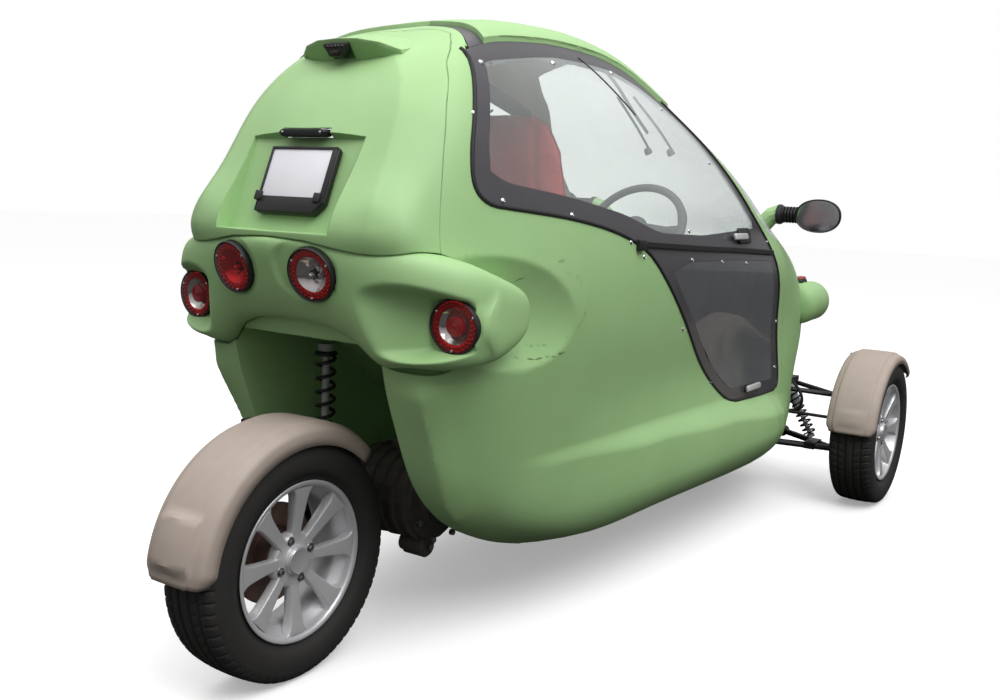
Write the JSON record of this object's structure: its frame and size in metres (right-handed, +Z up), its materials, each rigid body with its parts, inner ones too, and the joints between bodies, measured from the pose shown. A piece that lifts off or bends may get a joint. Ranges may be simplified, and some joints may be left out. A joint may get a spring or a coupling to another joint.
{
  "type": "three wheeled car",
  "caption": "Narrow electric three wheeled car with a closed plastic cabin, gull-wing doors, one driven rear wheel and two steered front wheels on open arms.",
  "frame": {"origin": "on the ground under the middle of the car's length and width", "axes": "+X forward, +Y to the left, +Z up"},
  "size_m": [3.1673, 1.555, 1.613],
  "materials": {
    "green_polyethylene": "satin, lightly grained",
    "clear_polycarbonate": "clear",
    "tinted_polycarbonate": "tinted",
    "black_border": "gloss",
    "red_lens": "gloss",
    "clear_lens": "gloss",
    "black_plastic": "satin",
    "taupe_plastic": "matte",
    "tyre_rubber": "matte",
    "cast_aluminium": "machined and lacquered",
    "painted_steel": "satin",
    "motor_housing": "as cast",
    "red_fabric": "woven",
    "grey_plastic": "matte",
    "battery_case": "matte"
  },
  "bodies": {
    "car_body": {"body_shell": "green_polyethylene", "tail_shell": "green_polyethylene", "lamp_bar": "green_polyethylene", "roof_panel": "green_polyethylene", "nose_panel": "green_polyethylene", "windscreen": "clear_polycarbonate", "tail_lamp_inner_left": "red_lens", "tail_lamp_inner_right": "clear_lens", "tail_lamp_outer_left": "red_lens", "tail_lamp_outer_right": "red_lens", "plate_holder": "black_plastic", "plate_lamp": "black_plastic", "high_brake_lamp": "black_plastic", "roof_strip": "black_border", "headlamp_left": "green_polyethylene", "headlamp_right": "green_polyethylene", "mirror_arm_left": "green_polyethylene", "mirror_arm_right": "green_polyethylene", "mirror_head_left": "black_plastic", "mirror_head_right": "black_plastic", "front_seat": "red_fabric", "rear_seat": "red_fabric", "dashboard": "grey_plastic", "chassis": "painted_steel", "battery_pack": "battery_case", "upper_arm_left": "painted_steel", "upper_arm_right": "painted_steel", "lower_arm_left": "painted_steel", "lower_arm_right": "painted_steel", "damper_left": "painted_steel", "damper_right": "painted_steel", "swing_arm": "painted_steel", "drive_motor": "motor_housing", "rear_damper": "painted_steel", "rear_mudguard": "taupe_plastic"},
    "left_door": {"door_left": "black_border", "door_window_left": "clear_polycarbonate", "door_lower_pane_left": "tinted_polycarbonate"},
    "right_door": {"door_right": "black_border", "door_window_right": "clear_polycarbonate", "door_lower_pane_right": "tinted_polycarbonate"},
    "left_knuckle": {"knuckle_left": "painted_steel", "front_mudguard_left": "taupe_plastic"},
    "right_knuckle": {"knuckle_right": "painted_steel", "front_mudguard_right": "taupe_plastic"},
    "front_left_wheel": {"tyre_front_left": "tyre_rubber", "rim_front_left": "cast_aluminium"},
    "front_right_wheel": {"tyre_front_right": "tyre_rubber", "rim_front_right": "cast_aluminium"},
    "rear_wheel": {"tyre_rear": "tyre_rubber", "rim_rear": "cast_aluminium"},
    "rack": {"steering_rack": "painted_steel"},
    "hand_wheel": {"steering_wheel": "black_plastic"}
  },
  "joints": [
    {"name": "steer_left", "type": "hinge", "parent": "car_body", "child": "left_knuckle", "pos_m": [1.2736, 0.58, 0.284], "axis": [0, 0, 1], "range_deg": [-27, 27]},
    {"name": "steer_right", "type": "hinge", "parent": "car_body", "child": "right_knuckle", "pos_m": [1.2736, -0.58, 0.284], "axis": [0, 0, 1], "range_deg": [-27, 27]},
    {"name": "rack_slide", "type": "slide", "parent": "car_body", "child": "rack", "axis": [0, 1, 0], "range_m": [-0.055, 0.055]},
    {"name": "steering_wheel_turn", "type": "hinge", "parent": "car_body", "child": "hand_wheel", "pos_m": [0.4736, 0, 1.035], "axis": [-0.8412, 0, 0.5408], "range_deg": [-326, 326]},
    {"name": "spin_front_left", "type": "hinge", "parent": "left_knuckle", "child": "front_left_wheel", "pos_m": [1.2736, 0.6875, 0.284], "axis": [0, 1, 0], "continuous": true},
    {"name": "spin_front_right", "type": "hinge", "parent": "right_knuckle", "child": "front_right_wheel", "pos_m": [1.2736, -0.6875, 0.284], "axis": [0, 1, 0], "continuous": true},
    {"name": "spin_rear", "type": "hinge", "parent": "car_body", "child": "rear_wheel", "pos_m": [-1.2464, 0, 0.284], "axis": [0, 1, 0], "continuous": true},
    {"name": "door_left_hinge", "type": "hinge", "parent": "car_body", "child": "left_door", "pos_m": [-0.2464, 0.25, 1.535], "axis": [1, 0, 0], "range_deg": [0, 72]},
    {"name": "door_right_hinge", "type": "hinge", "parent": "car_body", "child": "right_door", "pos_m": [-0.2464, -0.25, 1.535], "axis": [-1, 0, 0], "range_deg": [0, 72]}
  ],
  "couplings": [
    {"joint": "steer_right", "follows": "steer_left", "ratio": 1},
    {"joint": "rack_slide", "follows": "steer_left", "m_per_rad": -0.11},
    {"joint": "steering_wheel_turn", "follows": "steer_left", "ratio": 12}
  ]
}
